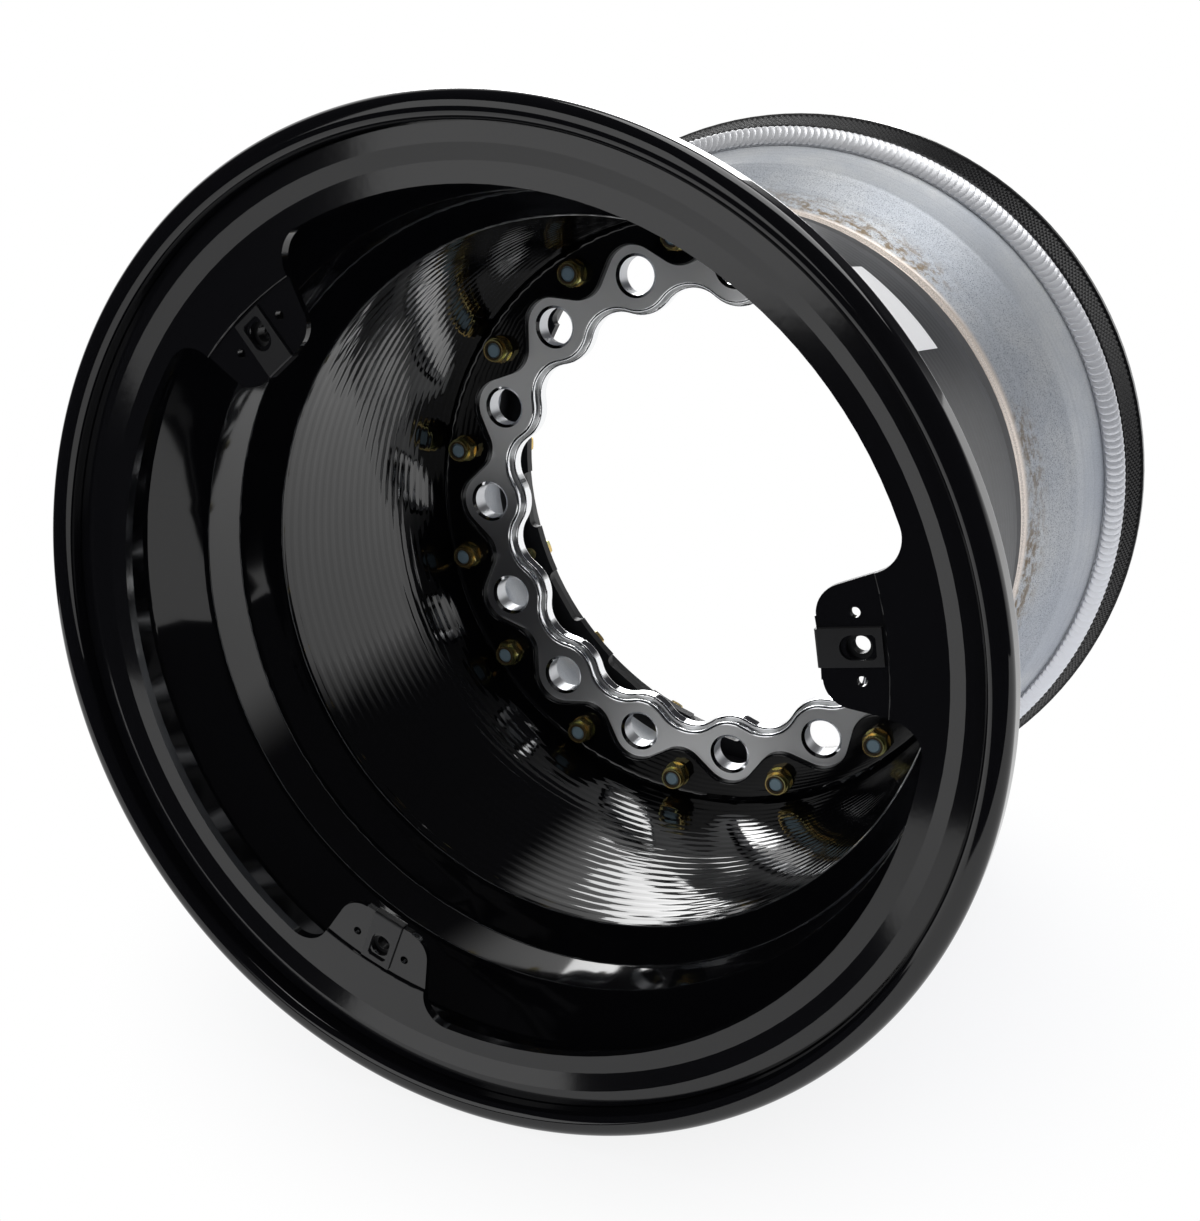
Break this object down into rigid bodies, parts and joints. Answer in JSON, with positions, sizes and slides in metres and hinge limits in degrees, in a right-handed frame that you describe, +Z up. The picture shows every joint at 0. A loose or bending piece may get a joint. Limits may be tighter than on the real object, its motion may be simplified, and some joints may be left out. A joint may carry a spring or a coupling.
{
  "type": "car wheel",
  "caption": "Deep-dish three-piece racing wheel: black spun outer half, polished lug ring, bare inner half with a welded bead ring, and a tabbed cover ring in the lip.",
  "frame": {"origin": "middle of the wheel's bounding box, on the wheel's axis", "axes": "+Y along the wheel's axis from the open dish towards the hub and the car, +Z up, front of the dish facing -Y"},
  "size_m": [0.4063, 0.392, 0.4064],
  "materials": {
    "black_gloss": "gloss powder coat",
    "black_cover": "gloss powder coat",
    "polished_aluminium": "mirror polished",
    "bare_aluminium": "bare, as spun",
    "black_anodised": "satin anodised",
    "weld_metal": "bright weld",
    "black_spring_steel": "dull black phosphate",
    "clear_zinc": "clear zinc plated",
    "yellow_zinc": "yellow zinc plated",
    "nylon": "nylon",
    "sealant": "sealant",
    "valve_rubber": "rubber",
    "valve_metal": "nickel plated",
    "valve_plastic": "moulded"
  },
  "bodies": {
    "root": {"outer_half": "black_gloss", "cover_ring": "black_cover", "centre_ring": "polished_aluminium", "inner_half": "bare_aluminium", "bead_ring": "black_anodised", "clamp_ring": "black_anodised", "weld_bead": "weld_metal", "cover_clip_right": "black_spring_steel", "cover_clip_left": "black_spring_steel", "cover_clip_bottom": "black_spring_steel", "rim_bolts": "clear_zinc", "rim_washers": "yellow_zinc", "lock_nuts": "yellow_zinc", "nut_inserts": "nylon", "clamp_bolts": "yellow_zinc", "joint_seal": "sealant", "valve_seal": "valve_rubber", "valve_stem": "valve_metal", "valve_nut": "valve_metal", "valve_cap": "valve_plastic"}
  },
  "joints": []
}
